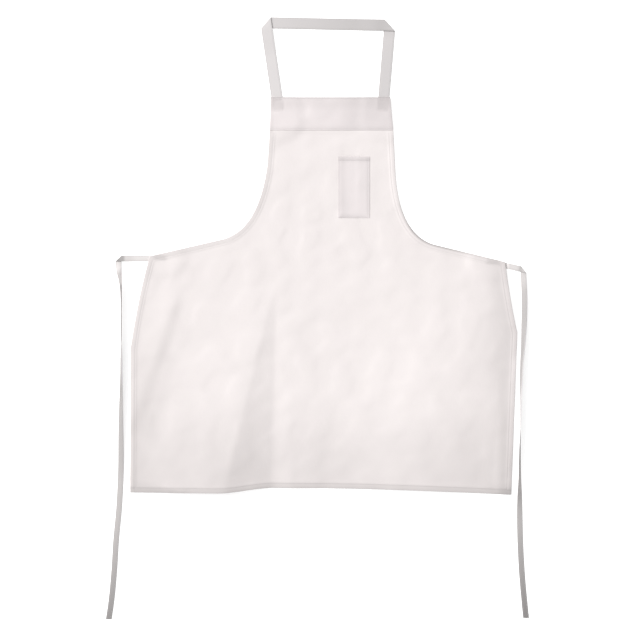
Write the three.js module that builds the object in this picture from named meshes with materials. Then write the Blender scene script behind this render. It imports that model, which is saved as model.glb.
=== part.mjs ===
// A twill bib apron lying flat with its front upwards, in millimetres.
// +X runs to the wearer's left, +Y from the hem to the neck and +Z out of the front; z = 0 is the surface.
import * as THREE from "three";

// Cloth
const CLOTH = 1.2; // one layer of twill, also the thickness of the tapes
const SEAM_GAP = 0.3; // clearance between pieces that are sewn to each other
const HEM_WIDTH = 12; // turned edge of the armholes, sides and bottom
const HEM_THICKNESS = 2; // the layers of a turned edge pressed together
const HEM_STEP = 2; // distance over which a hem thins to a single layer
const HEM_RISE = 12; // how far the bottom edge is drawn up beside the flare
// Shares of the breadth at which the bottom edge starts to rise, has risen, and starts to come down again
const HEM_DRAW = { start: 0.22, full: 0.37, held: 0.45 };

// Points of the two side edges, [x, y], from the top of the bib down to the hem
const EDGES = {
  left: {
    bibTop: [-117, 355],
    bandFoot: [-119.4, 281],
    armholeTop: [-124.5, 205],
    armholeBend: [-143.5, 59],
    armholeFoot: [-224, 37],
    waist: [-388, -1],
    sideBow: [-414, -92],
    hip: [-430, -205],
    hemCorner: [-432, -530],
  },
  right: {
    bibTop: [150.5, 355],
    bandFoot: [157.3, 281],
    armholeTop: [162, 190],
    armholeBend: [169.5, 43],
    armholeFoot: [254, 23.5],
    waist: [408, -14],
    sideBow: [419, -105],
    hip: [435, -172],
    hemCorner: [421.5, -535],
  },
};

// Folds that the body lies in: a crest from one point to another, how far its middle bows towards -X, its
// height at both ends, the run-in of its ends, and two flanks, west towards -X and east towards +X. A flank
// has its reach at both ends of the crest, and the shares of it that are rounded at the crest and the foot.
const FOLDS = [
  // The wide flare of the skirt
  {
    from: [-120, -105],
    to: [-233, -545],
    bow: 0,
    rise: [1, 12],
    fade: 30,
    west: { reach: [130, 330], crest: 0.12, foot: 0.4 },
    east: { reach: [16, 129], crest: 0.12, foot: 0.08 },
  },
  // The lower ridge beside it
  {
    from: [-74, -170],
    to: [-66, -545],
    bow: 0,
    rise: [0.3, 1.8],
    fade: 60,
    west: { reach: [30, 38], crest: 0.3, foot: 0.15 },
    east: { reach: [80, 120], crest: 0.3, foot: 0.5 },
  },
  // The drag from the waist to the left side
  {
    from: [-345, -120],
    to: [-436, -370],
    bow: 0,
    rise: [2, 2.8],
    fade: 50,
    west: { reach: [200, 200], crest: 0.5, foot: 0.5 },
    east: { reach: [36, 44], crest: 0.4, foot: 0.4 },
  },
  // The roll along the right side
  {
    from: [420, -85],
    to: [225, -545],
    bow: 55,
    rise: [3, 7],
    fade: 60,
    west: { reach: [250, 270], crest: 0.3, foot: 0.6 },
    east: { reach: [90, 200], crest: 0.6, foot: 0.05 },
  },
];

// Chest pocket
const POCKET = { centre: [69.2, 153.5], width: 70, depth: 137, gape: 5.5, flank: 30, columns: 12, rows: 10 };

// Neck strap: the tape passes these points, its ends hidden behind the bib
const STRAP = {
  width: 25.4,
  tuck: 50,
  leftSeam: [-103.5, 355],
  leftCorner: [-128, 522],
  rightCorner: [149.5, 516],
  rightSeam: [136, 355],
};

// Waist ties: tape from its hidden end to the fold, then down to the tip.
// Each lay has a row for each station: distance past the fold, sway towards +X, and roll in degrees.
const TIE_WIDTH = 12.7;
const TIES = {
  left: {
    end: [-350, -6],
    fold: [-458, -6],
    lay: [
      { along: 0, sway: 0, roll: 0 },
      { along: 24, sway: 0.6, roll: -17 },
      { along: 42, sway: 3.4, roll: -48 },
      { along: 62, sway: 5.7, roll: -73 },
      { along: 95, sway: 6.7, roll: -86 },
      { along: 185, sway: 6.7, roll: -95 },
      { along: 215, sway: 6.7, roll: -110 },
      { along: 265, sway: 6.7, roll: -117 },
      { along: 295, sway: 6.5, roll: -126 },
      { along: 345, sway: 5.8, roll: -143 },
      { along: 400, sway: 5.6, roll: -160 },
      { along: 460, sway: 5.5, roll: -176 },
      { along: 520, sway: 3.4, roll: -180 },
      { along: 560, sway: 1, roll: -180 },
      { along: 630, sway: -5.5, roll: -180 },
      { along: 702, sway: -10, roll: -180 },
      { along: 774, sway: -17, roll: -180 },
      { along: 808, sway: -22, roll: -180 },
    ],
  },
  right: {
    end: [366, -12],
    fold: [449, -31],
    lay: [
      { along: 0, sway: 0, roll: 0 },
      { along: 26, sway: 0.5, roll: 9 },
      { along: 70, sway: 2, roll: 15 },
      { along: 115, sway: 1, roll: 24 },
      { along: 144, sway: -0.3, roll: 38 },
      { along: 171, sway: -1.9, roll: 50 },
      { along: 205, sway: -4.5, roll: 62 },
      { along: 252, sway: -6.3, roll: 71 },
      { along: 285, sway: -6.8, roll: 84 },
      { along: 345, sway: -7.6, roll: 94 },
      { along: 384, sway: -8.4, roll: 106 },
      { along: 440, sway: -9, roll: 119 },
      { along: 470, sway: -9, roll: 127 },
      { along: 505, sway: -9, roll: 152 },
      { along: 550, sway: -8.7, roll: 172 },
      { along: 626, sway: -6.7, roll: 180 },
      { along: 698, sway: -2.2, roll: 180 },
      { along: 734, sway: 1, roll: 180 },
      { along: 780, sway: 5.6, roll: 180 },
    ],
  },
};

// Divisions of the cloth and the tapes
const COLUMNS = 40;
const ROWS = { band: 4, bib: 4, armhole: 8, slope: 4, side: 6, skirt: 14 };
const TAPE_STEP = 14;
const TAPE_CELLS = 2;
const CREASE_STEPS = 4;
const CREASE_CLEAR = 0.8; // widths of tape without square lines on both sides of a crease
const CLIMB = { start: 3, end: 1 }; // widths of tape before a crease over which its run rises
const SWAY = { start: 0.6, end: 2 }; // widths of tape past a crease over which a tie takes up its lay

const { lerp, smoothstep, degToRad } = THREE.MathUtils;
const FOLD_RADIUS = (CLOTH + SEAM_GAP) / 2; // middle of a tape where it is folded flat on itself
const TUCK_LIFT = CLOTH + SEAM_GAP; // how far a tape sewn behind the cloth lifts it
const TUCK_MARGIN = 22; // the cloth stays lifted this far beside such a tape
const TUCK_SLOPE = 26; // and comes down over this distance

const point = ([x, y]) => new THREE.Vector2(x, y);

// A closed sheet: a box divided into columns and rows whose corners place(i, j, side) moves,
// with side 1 on its upper face and -1 on its lower face.
function sheet(columns, rows, place) {
  const geometry = new THREE.BoxGeometry(columns, rows, 2, columns, rows, 1);
  const position = geometry.getAttribute("position");
  for (let k = 0; k < position.count; k++) {
    const i = Math.round(position.getX(k) + columns / 2);
    const j = Math.round(rows / 2 - position.getY(k));
    position.setXYZ(k, ...place(i, j, Math.sign(position.getZ(k))));
  }
  // The cells of the lower face, which come last, are split along the same diagonal as those of the upper
  // face, so that a twisted sheet keeps its thickness.
  const corners = geometry.getIndex();
  const cellCorners = 6;
  for (let k = corners.count - columns * rows * cellCorners; k < corners.count; k += cellCorners) {
    corners.setX(k + 2, corners.getX(k + 4));
    corners.setX(k + 3, corners.getX(k));
  }
  geometry.computeVertexNormals();
  return geometry;
}

// The stretches of a side edge with the number of rows on each.
function edgeStretches(edge) {
  const p = Object.fromEntries(Object.entries(edge).map(([name, xy]) => [name, point(xy)]));
  return [
    { rows: ROWS.band, curve: new THREE.LineCurve(p.bibTop, p.bandFoot) },
    { rows: ROWS.bib, curve: new THREE.LineCurve(p.bandFoot, p.armholeTop) },
    { rows: ROWS.armhole, curve: new THREE.QuadraticBezierCurve(p.armholeTop, p.armholeBend, p.armholeFoot) },
    { rows: ROWS.slope, curve: new THREE.LineCurve(p.armholeFoot, p.waist) },
    { rows: ROWS.side, curve: new THREE.QuadraticBezierCurve(p.waist, p.sideBow, p.hip) },
    { rows: ROWS.skirt, curve: new THREE.LineCurve(p.hip, p.hemCorner) },
  ];
}

// Rows of one side edge: the outer point, and the inner point where its turned hem ends.
function edgeRows(edge, inward) {
  const stretches = edgeStretches(edge);
  const normal = (curve, t) => {
    const { x, y } = curve.getTangent(t);
    return new THREE.Vector2(-y, x).multiplyScalar(inward);
  };
  const rows = [];
  const addRow = (outer, before, after) => {
    const mitre = before.clone().add(after).multiplyScalar(HEM_WIDTH / (1 + before.dot(after)));
    rows.push({ outer, inner: outer.clone().add(mitre) });
  };
  stretches.forEach(({ rows: count, curve }, k) => {
    const last = k === stretches.length - 1;
    const end = last ? 1 - (HEM_WIDTH + HEM_STEP) / curve.getLength() : 1;
    for (let row = 0; row < count; row++) {
      const t = (end * row) / count;
      const after = normal(curve, t);
      const before = row === 0 && k > 0 ? normal(stretches[k - 1].curve, 1) : after;
      addRow(curve.getPoint(t), before, after);
    }
    if (last) {
      const square = normal(curve, 1);
      for (const above of [HEM_WIDTH + HEM_STEP, HEM_WIDTH, 0]) {
        addRow(curve.getPoint(1 - above / curve.getLength()), square, square);
      }
    }
  });
  return rows;
}

const leftRows = edgeRows(EDGES.left, 1);
const rightRows = edgeRows(EDGES.right, -1);
const LAST_ROW = leftRows.length - 1;

// The body's grid seen from above: column 0 and the last are the edges, the next ones the inside of the hems.
function bodyPlan(i, j) {
  const left = leftRows[j];
  const right = rightRows[j];
  if (i === 0) return left.outer.clone();
  if (i === COLUMNS) return right.outer.clone();
  const step = HEM_STEP / left.inner.distanceTo(right.inner);
  let share = lerp(step, 1 - step, (i - 2) / (COLUMNS - 4));
  if (i === 1) share = 0;
  if (i === COLUMNS - 1) share = 1;
  const plan = left.inner.clone().lerp(right.inner, share);
  const skirtShare = smoothstep(-plan.y, -EDGES.left.hip[1], -EDGES.left.hemCorner[1]);
  const fallen = Math.max(0, share - HEM_DRAW.held) / (1 - HEM_DRAW.held);
  const drawn = smoothstep(share, HEM_DRAW.start, HEM_DRAW.full) * (1 - fallen ** 2);
  plan.y += HEM_RISE * drawn * skirtShare;
  return plan;
}

// The band's rows end in a plain edge, and below it both sides and the bottom are hemmed.
function bodyThickness(i, j) {
  const sideHem = (i <= 1 || i >= COLUMNS - 1) && j > ROWS.band;
  const bottomHem = j >= LAST_ROW - 1;
  return sideHem || bottomHem ? HEM_THICKNESS : CLOTH;
}

// Height of a flank from 1 at the crest to 0 at its foot: an even slope, rounded at both of its ends.
function flankHeight({ crest, foot }, away) {
  const u = Math.min(1, away);
  const rounding = Math.max(0, crest - u) ** 2 / crest - Math.max(0, u - 1 + foot) ** 2 / foot;
  return 1 - (u + (rounding - crest) / 2) / (1 - (crest + foot) / 2);
}

// Height of one fold's crest and flanks above the surface.
function foldLift(fold, { x, y }) {
  const from = point(fold.from);
  const line = point(fold.to).sub(from);
  const length = line.length();
  const along = new THREE.Vector2(x, y).sub(from).dot(line) / length;
  const share = THREE.MathUtils.clamp(along / length, 0, 1);
  const straightX = from.x + (line.x / line.y) * (y - from.y);
  const crestX = straightX - fold.bow * 4 * share * (1 - share);
  const flank = x < crestX ? fold.west : fold.east;
  const height = flankHeight(flank, Math.abs(x - crestX) / lerp(...flank.reach, share));
  const runIn = smoothstep(along, -fold.fade, 0) * smoothstep(length - along, -fold.fade, 0);
  return lerp(...fold.rise, share) * runIn * height;
}

// The hidden tape ends that lie behind the cloth.
const towards = (from, to, distance) => point(from).add(point(to).sub(point(from)).setLength(distance));
const strapTuck = (seam, corner) => ({
  from: point(seam),
  to: towards(seam, corner, -STRAP.tuck),
  width: STRAP.width,
});
const tieTuck = ({ end }, { waist }) => ({ from: point(end), to: point(waist), width: TIE_WIDTH });
const TUCKS = [
  strapTuck(STRAP.leftSeam, STRAP.leftCorner),
  strapTuck(STRAP.rightSeam, STRAP.rightCorner),
  tieTuck(TIES.left, EDGES.left),
  tieTuck(TIES.right, EDGES.right),
];

// Lift of the cloth over one hidden tape end.
function tuckLift({ from, to, width }, plan) {
  const line = to.clone().sub(from);
  const share = THREE.MathUtils.clamp(plan.clone().sub(from).dot(line) / line.lengthSq(), 0, 1);
  const away = plan.distanceTo(from.clone().addScaledVector(line, share)) - width / 2;
  return TUCK_LIFT * (1 - smoothstep(away, TUCK_MARGIN, TUCK_MARGIN + TUCK_SLOPE));
}

// Height of the body's lower face above the surface.
function bodyLift(plan) {
  const folds = FOLDS.reduce((sum, fold) => sum + foldLift(fold, plan), 0);
  return folds + Math.max(...TUCKS.map((tuck) => tuckLift(tuck, plan)));
}

function bodyPanel() {
  return sheet(COLUMNS, LAST_ROW, (i, j, side) => {
    const plan = bodyPlan(i, j);
    const lift = bodyLift(plan);
    return [plan.x, plan.y, side > 0 ? lift + bodyThickness(i, j) : lift];
  });
}

// The band covers the first rows of the bib, one gap above its front.
function bibBand() {
  return sheet(COLUMNS, ROWS.band, (i, j, side) => {
    const plan = bodyPlan(i, j);
    const lift = bodyLift(plan) + CLOTH + SEAM_GAP;
    return [plan.x, plan.y, side > 0 ? lift + CLOTH : lift];
  });
}

// A patch sewn down along three sides and standing open at its upper edge, rising over its flanks.
function chestPocket() {
  return sheet(POCKET.columns, POCKET.rows, (i, j, side) => {
    const x = (i / POCKET.columns - 0.5) * POCKET.width;
    const down = j / POCKET.rows;
    const rise = smoothstep(POCKET.width / 2 - Math.abs(x), 0, POCKET.flank);
    const arch = POCKET.gape * rise * (1 - down ** 3);
    return [x, (0.5 - down) * POCKET.depth, arch + (side > 0 ? CLOTH : 0)];
  });
}

// Where the corners of a route fall on the straight tape, and how far the tape turns at each. Every fold
// turns the tape over, so on the straight tape every other turn goes the opposite way.
function tapeFolds(route) {
  let at = 0;
  return route.slice(1, -1).map((corner, k) => {
    const before = corner.clone().sub(route[k]);
    const after = route[k + 2].clone().sub(corner);
    const turn = Math.atan2(before.cross(after), before.dot(after));
    at += before.length();
    return { at, turn: k % 2 ? -turn : turn };
  });
}

// Lines across the tape: square on its runs, and slanted to lie along the crease of each fold.
function tapeStations(length, folds, width) {
  const stations = [];
  const addRun = (from, to) => {
    const count = Math.ceil((to - from) / TAPE_STEP);
    for (let k = 0; k <= count; k++) stations.push({ along: lerp(from, to, k / count), slant: 0 });
  };
  const clear = CREASE_CLEAR * width;
  let from = 0;
  for (const { at, turn } of folds) {
    addRun(from, at - clear);
    const reach = (Math.PI * FOLD_RADIUS) / (2 * Math.abs(Math.sin(turn / 2)));
    for (let k = 0; k <= CREASE_STEPS; k++) {
      stations.push({ along: at + lerp(-reach, reach, k / CREASE_STEPS), slant: 1 / Math.tan(turn / 2) });
    }
    from = at + clear;
  }
  addRun(from, length);
  return stations;
}

// Bends what lies past a crease round and back flat: side -1 folds it under, 1 over. s and t are the
// straight tape's own length and breadth, and z the height above its middle.
function foldTape({ s, t, z }, { at, turn }, side) {
  const half = turn / 2;
  const crease = new THREE.Vector2(Math.cos(half), Math.sin(half));
  const ahead = new THREE.Vector2(crease.y, -crease.x).multiplyScalar(Math.sign(half));
  const flat = new THREE.Vector2(s - at, t);
  const past = flat.dot(ahead);
  const bend = (Math.PI / 2) * FOLD_RADIUS;
  if (past <= -bend) return { s, t, z };
  const angle = Math.min(Math.PI, (past + bend) / FOLD_RADIUS);
  const radius = FOLD_RADIUS - side * z;
  const beyond = Math.max(0, past - bend);
  const reach = radius * Math.sin(angle) - bend - beyond;
  const bent = crease.clone().multiplyScalar(flat.dot(crease)).addScaledVector(ahead, reach);
  return { s: at + bent.x, t: bent.y, z: side * (FOLD_RADIUS - radius * Math.cos(angle)) };
}

// A tape laid along a route, folded under at each corner. lie(along) gives its sway and roll.
function tape(route, width, lie) {
  const folds = tapeFolds(route);
  const length = route.slice(1).reduce((sum, corner, k) => sum + corner.distanceTo(route[k]), 0);
  const stations = tapeStations(length, folds, width);
  const heading = route[1].clone().sub(route[0]).angle();
  return sheet(stations.length - 1, TAPE_CELLS, (i, j, side) => {
    const t = (0.5 - j / TAPE_CELLS) * width;
    const s = stations[i].along + stations[i].slant * t;
    const { sway, roll, lift } = lie(s);
    const z = (side * CLOTH) / 2;
    let laid = {
      s,
      t: t * Math.cos(roll) - z * Math.sin(roll) + sway,
      z: t * Math.sin(roll) + z * Math.cos(roll) + lift,
    };
    for (let k = folds.length - 1; k >= 0; k--) laid = foldTape(laid, folds[k], k % 2 ? 1 : -1);
    // Each run rises onto the next one before the fold that takes it underneath.
    const climbs = folds.map(({ at }) => smoothstep(s, at - CLIMB.start * width, at - CLIMB.end * width));
    const rise = climbs.reduce((sum, climb) => sum + climb * 2 * FOLD_RADIUS, CLOTH / 2);
    const plan = new THREE.Vector2(laid.s, laid.t).rotateAround(new THREE.Vector2(), heading).add(route[0]);
    return [plan.x, plan.y, laid.z + rise];
  });
}

function neckStrap() {
  const [leftTuck, rightTuck] = TUCKS;
  const route = [leftTuck.to, point(STRAP.leftCorner), point(STRAP.rightCorner), rightTuck.to];
  return tape(route, STRAP.width, () => ({ sway: 0, roll: 0, lift: 0 }));
}

// A tie turns over as it runs down, standing on its lower edge where it rolls.
function waistTie({ end, fold, lay }) {
  const start = point(end).distanceTo(point(fold));
  const values = lay.flatMap(({ sway, roll }) => [sway, degToRad(roll)]);
  const lies = new THREE.CubicInterpolant(lay.map(({ along }) => along), values, 2);
  const drop = lay.at(-1).along;
  const tip = [fold[0], fold[1] - drop];
  return tape([point(end), point(fold), point(tip)], TIE_WIDTH, (s) => {
    const past = THREE.MathUtils.clamp(s - start, 0, drop);
    // It stays flat until it has come out from under its first run.
    const free = smoothstep(past, SWAY.start * TIE_WIDTH, SWAY.end * TIE_WIDTH);
    const [sway, roll] = lies.evaluate(past).map((value) => value * free);
    const stand = (TIE_WIDTH / 2) * Math.abs(Math.sin(roll)) + (CLOTH / 2) * Math.abs(Math.cos(roll));
    // Past its fold the straight tape lies face down, so its sway and its height change sign.
    return { sway: -sway, roll, lift: CLOTH / 2 - stand };
  });
}

const cotton = (color) => new THREE.MeshStandardMaterial({ color, roughness: 0.95, metalness: 0 });
const SINGLE_LAYER = 0xf6efee;
const DOUBLE_LAYER = 0xeee6e5;
const TAPE_WHITE = 0xdedad9;

const apron = new THREE.Group();
function add(name, geometry, color) {
  const mesh = new THREE.Mesh(geometry, cotton(color));
  mesh.name = name;
  apron.add(mesh);
  return mesh;
}

add("body_panel", bodyPanel(), SINGLE_LAYER);
add("bib_band", bibBand(), DOUBLE_LAYER);
add("chest_pocket", chestPocket(), DOUBLE_LAYER).position.set(...POCKET.centre, CLOTH + SEAM_GAP);
add("neck_strap", neckStrap(), TAPE_WHITE);
add("tie_left", waistTie(TIES.left), TAPE_WHITE);
add("tie_right", waistTie(TIES.right), TAPE_WHITE);

export default apron;
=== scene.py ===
"""Looks of a white twill bib apron laid flat with its front upwards.

Lengths are in metres. +X runs to the wearer's left, +Y from the hem to the neck and +Z out of the front,
and the surface that the apron lies on is at z = 0.
"""

import math

import bpy
import numpy as np
from bpy.props import FloatProperty, FloatVectorProperty, PointerProperty
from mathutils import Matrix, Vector
from numpy.linalg import norm


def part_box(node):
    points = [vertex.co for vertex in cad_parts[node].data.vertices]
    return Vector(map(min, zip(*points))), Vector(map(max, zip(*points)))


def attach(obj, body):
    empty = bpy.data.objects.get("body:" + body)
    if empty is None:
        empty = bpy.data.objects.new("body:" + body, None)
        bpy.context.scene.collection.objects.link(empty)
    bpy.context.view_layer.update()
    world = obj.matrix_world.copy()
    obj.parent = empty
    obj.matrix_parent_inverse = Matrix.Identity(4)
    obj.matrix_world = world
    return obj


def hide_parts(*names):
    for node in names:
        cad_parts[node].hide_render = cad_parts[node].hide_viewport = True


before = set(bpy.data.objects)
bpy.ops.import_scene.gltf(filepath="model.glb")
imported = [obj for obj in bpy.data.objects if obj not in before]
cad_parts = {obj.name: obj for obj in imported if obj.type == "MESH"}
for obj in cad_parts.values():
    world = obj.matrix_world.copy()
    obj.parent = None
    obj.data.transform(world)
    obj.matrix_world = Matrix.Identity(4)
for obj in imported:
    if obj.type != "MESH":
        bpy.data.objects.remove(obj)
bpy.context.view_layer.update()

bl_info = {
    "name": "Twill Bib Apron",
    "version": (1, 0, 0),
    "blender": (4, 5, 0),
    "location": "3D View > Sidebar > Apron",
    "description": "Dresses the apron's solids in hemmed, stitched and folded twill",
    "category": "Object",
}

UP = np.array([0, 0, 1])
WHITE = (1, 1, 1, 1)
SMOOTH_ANGLE = math.radians(60)  # edges sharper than this stay sharp

# Cloth
CLOTH = 0.0012  # one layer of twill, also the thickness of the tapes
SEAM_GAP = 0.0003  # clearance between pieces that are sewn to each other
HEM_RISE = 0.012  # how far the bottom edge is drawn up beside the flare
# Shares of the breadth at which the bottom edge starts to rise, has risen, and starts to come down again
HEM_DRAW = (0.22, 0.37, 0.45)

# Points of the two side edges, from the top of the bib down to the hem
EDGES = {
    "left": {
        "bib_top": (-0.117, 0.355),
        "band_foot": (-0.1194, 0.281),
        "armhole_top": (-0.1245, 0.205),
        "armhole_bend": (-0.1435, 0.059),
        "armhole_foot": (-0.224, 0.037),
        "waist": (-0.388, -0.001),
        "side_bow": (-0.414, -0.092),
        "hip": (-0.430, -0.205),
        "hem_corner": (-0.432, -0.530),
    },
    "right": {
        "bib_top": (0.1505, 0.355),
        "band_foot": (0.1573, 0.281),
        "armhole_top": (0.162, 0.190),
        "armhole_bend": (0.1695, 0.043),
        "armhole_foot": (0.254, 0.0235),
        "waist": (0.408, -0.014),
        "side_bow": (0.419, -0.105),
        "hip": (0.435, -0.172),
        "hem_corner": (0.4215, -0.535),
    },
}

# Stretches of a side edge: grid rows, where it starts, the point that bows it, and where it ends
STRETCHES = (
    (14, "bib_top", None, "band_foot"),
    (14, "band_foot", None, "armhole_top"),
    (40, "armhole_top", "armhole_bend", "armhole_foot"),
    (20, "armhole_foot", None, "waist"),
    (26, "waist", "side_bow", "hip"),
    (62, "hip", None, "hem_corner"),
)
BODY_COLUMNS = 150  # between the two side hems

# Sections of sewn edges: inset from the edge, height of the front and of the back above plain cloth, and
# tone, which paints shade along the edges and the sewn lines.
# A name that ends in STITCH is the inset of a sewn line.
HEM = np.array([
    (0.0000, 0.0000, 0.0003, 0.92),
    (0.0003, 0.0004, 0.0001, 0.96),
    (0.0010, 0.0005, 0.0000, 0.98),
    (0.0022, 0.0006, 0.0000, 1.00),
    (0.0060, 0.0006, 0.0000, 1.00),
    (0.0090, 0.0005, 0.0000, 0.99),
    (0.0100, 0.0002, 0.0002, 0.93),
    (0.0110, 0.0004, 0.0000, 0.98),
    (0.0120, 0.0004, 0.0000, 0.99),
    (0.0135, 0.0001, 0.0002, 0.99),
    (0.0160, 0.0000, 0.0001, 1.00),
    (0.0400, 0.0000, 0.0000, 1.00),
])
HEM_LINES = HEM[:-1, 0]  # insets at which the body's grid has lines of its own
HEM_STITCH = 0.0100
HEM_START = (0.010, 0.004)  # below the band: where the side hems are complete, and where they begin
HEM_TURN = 0.001  # rounding of the edge, which the sides also have under the band
PLAIN_EDGE = np.array([
    (0.0000, -0.0004, 0.0004, 0.86),
    (0.0003, -0.0001, 0.0001, 0.92),
    (0.0010, 0.0000, 0.0000, 1.00),
])
SEWN_EDGE = np.array([
    (0.0000, -0.00090, -0.00020, 1.00),
    (0.0003, -0.00085, -0.00020, 1.00),
    (0.0010, -0.00075, -0.00015, 1.00),
    (0.0018, -0.00065, -0.00010, 1.00),
    (0.0025, -0.00070, -0.00005, 0.96),
    (0.0032, -0.00050, 0.00000, 1.00),
    (0.0050, -0.00030, 0.00000, 1.00),
    (0.0085, 0.00000, 0.00000, 1.00),
])
SEWN_STITCH = 0.0025
THINNEST = 0.0003  # cloth that a sewn corner keeps
POCKET_HEM = np.array([
    (0.0000, -0.0004, 0.0004, 0.82),
    (0.0003, -0.0001, 0.0001, 0.86),
    (0.0010, 0.0002, 0.0000, 0.88),
    (0.0060, 0.0002, 0.0000, 0.89),
    (0.0086, 0.0002, 0.0000, 0.90),
    (0.0095, -0.0001, 0.0000, 0.87),
    (0.0104, 0.0001, 0.0000, 0.93),
    (0.0130, 0.0000, 0.0000, 0.98),
    (0.0160, 0.0000, 0.0000, 1.00),
])
POCKET_HEM_STITCH = 0.0095

# Section of a tape: inset from each edge, share of its thickness, and tone, which paints shade along its
# edges and its sewn line
TAPE = np.array([
    (0.0000, 0.35, 0.84),
    (0.0003, 0.80, 0.92),
    (0.0010, 1.00, 1.00),
    (0.0016, 1.00, 0.98),
    (0.0022, 0.72, 0.88),
    (0.0028, 1.00, 0.98),
    (0.0040, 1.00, 1.00),
])
TAPE_STITCH = 0.0022
TAPE_RIM = (0.0010, 0.0016)  # breadth of the edge that catches the light where a tape stands upright
RIM_LIGHT = 1.3  # tone that this edge gains
RIM_POWER = 4  # power of the sine of its roll by which a leaning tape gains less
TAPE_MIDDLE = 5  # cells between the inner lines of both edges
TAPE_STEP = 0.005  # between the lines across a tape
CREASE_STEPS = 8  # cells round a fold
CREASE_CLEAR = 0.8  # widths of tape without square lines on both sides of a crease
CLIMB = (3, 1)  # widths of tape before a crease between which its run rises
SWAY = (0.6, 2)  # widths of tape past a crease between which a tie takes up its lay
FOLD_RADIUS = (CLOTH + SEAM_GAP) / 2  # middle of a tape where it is folded flat on itself

# Folds that the body lies in: a crest from one point to another, how far its middle bows towards -X, its
# height at both ends, the run-in of its ends, and two flanks, west towards -X and east towards +X. A flank
# has its reach at both ends of the crest, and the shares of it that are rounded at the crest and the foot.
FOLDS = (
    # The wide flare of the skirt
    dict(start=(-0.120, -0.105), end=(-0.233, -0.545), bow=0, rise=(0.0010, 0.0120), fade=0.030,
         west=(0.130, 0.330), west_round=(0.12, 0.4), east=(0.016, 0.129), east_round=(0.12, 0.08)),
    # The lower ridge beside it
    dict(start=(-0.074, -0.170), end=(-0.066, -0.545), bow=0, rise=(0.0003, 0.0018), fade=0.060,
         west=(0.030, 0.038), west_round=(0.3, 0.15), east=(0.080, 0.120), east_round=(0.3, 0.5)),
    # The drag from the waist to the left side
    dict(start=(-0.345, -0.120), end=(-0.436, -0.370), bow=0, rise=(0.0020, 0.0028), fade=0.050,
         west=(0.200, 0.200), west_round=(0.5, 0.5), east=(0.036, 0.044), east_round=(0.4, 0.4)),
    # The roll along the right side
    dict(start=(0.420, -0.085), end=(0.225, -0.545), bow=0.055, rise=(0.0030, 0.0070), fade=0.060,
         west=(0.250, 0.270), west_round=(0.3, 0.6), east=(0.090, 0.200), east_round=(0.6, 0.05)),
)

# Shade painted into the skirt: where in x and in y it is still unshaded and where fully shaded, and the tone
# that it loses there
ANYWHERE = (-2, -1)
PAINTED_SKIRT_SHADE = (
    # Towards the hem
    (ANYWHERE, (-0.29, -0.50), 0.12),
    # Beside the flare
    ((-0.12, -0.22), (-0.10, -0.25), 0.025),
    ((-0.17, -0.25), (-0.20, -0.42), 0.015),
    # Towards the left and the right side
    ((-0.37, -0.43), ANYWHERE, 0.04),
    ((0.15, 0.30), (-0.45, -0.20), 0.03),
    ((0.33, 0.39), (-0.32, -0.10), 0.07),
    ((0.355, 0.410), ANYWHERE, 0.07),
    ((0.385, 0.405), (-0.24, -0.30), 0.09),
    ((0.340, 0.410), (-0.505, -0.522), 0.10),
)
# A soft streak of painted shade below the drag on the left: its ends, its reach to each side, and the tone
# it loses
DRAG_FOLD_SHADE = ((-0.346, -0.235), (-0.388, -0.395), 0.030, 0.06)

# Painted light and shade of the hems, darker or lighter than plain cloth. Along the two sides it changes
# with y.
HEM_SIDE_LIGHT_AND_SHADE = {
    "left": (
        (-0.50, 1.03), (-0.35, 0.98), (-0.25, 1.0), (-0.17, 0.96), (-0.11, 0.94), (-0.05, 0.90),
        (0.03, 0.88), (0.26, 0.86), (0.30, 0.93),
    ),
    "right": (
        (-0.50, 1.0), (-0.44, 1.04), (-0.30, 1.05), (-0.20, 1.03), (-0.14, 1.05), (-0.05, 1.02),
        (-0.02, 0.98), (0.02, 0.95), (0.30, 0.95),
    ),
}
HEM_FADE = (0.003, 0.010)  # distances from the edge between which the hem's tone ends
# Painted shade along the bottom hem; its sewn line is shaded more than those of the sides
BOTTOM_EDGE_SHADE = 0.87
BOTTOM_SEAM_SHADE = 2  # its sewn line is so many times as dark as that of the sides
BOTTOM_FADE = (0.009, 0.016)
# Painted shade of thin lines along edges: a shadow along the deepest bend of the right armhole, by y,
# and shade along the band's top; the band's foot is painted lighter against its shadow
ARMHOLE_SHADOW_LINE = ((-0.01, 1.0), (0.015, 0.56), (0.055, 0.52), (0.085, 0.80), (0.14, 1.0))
BAND_TOP_SHADE_LINE = 0.84
BAND_FOOT_LIGHT_LINE = 1.03
LINE_FADE = (0.0010, 0.0040)
# Painted shade of the band by distance below its top, and of the body by distance below the band
SHADE_BELOW_BAND_TOP = ((0, 0.93), (0.003, 0.87), (0.006, 0.90), (0.009, 0.94), (0.020, 0.95), (0.032, 1.0))
SHADE_BELOW_BAND = ((0, 1.0), (0.0015, 1.0), (0.0025, 0.95), (0.005, 0.965), (0.009, 1.0))
# Painted light and shade of the band and of the pocket by share of their breadth, from -X to +X
BAND_LIGHT_AND_SHADE = (
    (0, 1.02), (0.10, 1.02), (0.24, 1.05), (0.40, 0.995), (0.56, 0.99), (0.72, 0.895), (1, 0.94),
)
POCKET_LIGHT_AND_SHADE = (
    (0, 0.865), (0.06, 0.875), (0.22, 0.925), (0.42, 1.0), (0.75, 1.03), (0.93, 1.05), (1, 1.14),
)
BAND_CELLS = (60, 16)  # across and up, between its edges

# Ripples that the cloth keeps between its folds
RIPPLES = dict(seed=7, count=28, shortest=0.030, longest=0.110)

# Chest pocket: how far its upper edge stands open, the breadth of its sloping flanks, and the power of the
# depth by which it closes
POCKET_GAPE = 0.0015
POCKET_FLANK = 0.030
POCKET_CLOSING = 3
POCKET_CELLS = (24, 40)  # across and up, between its edges

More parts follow.
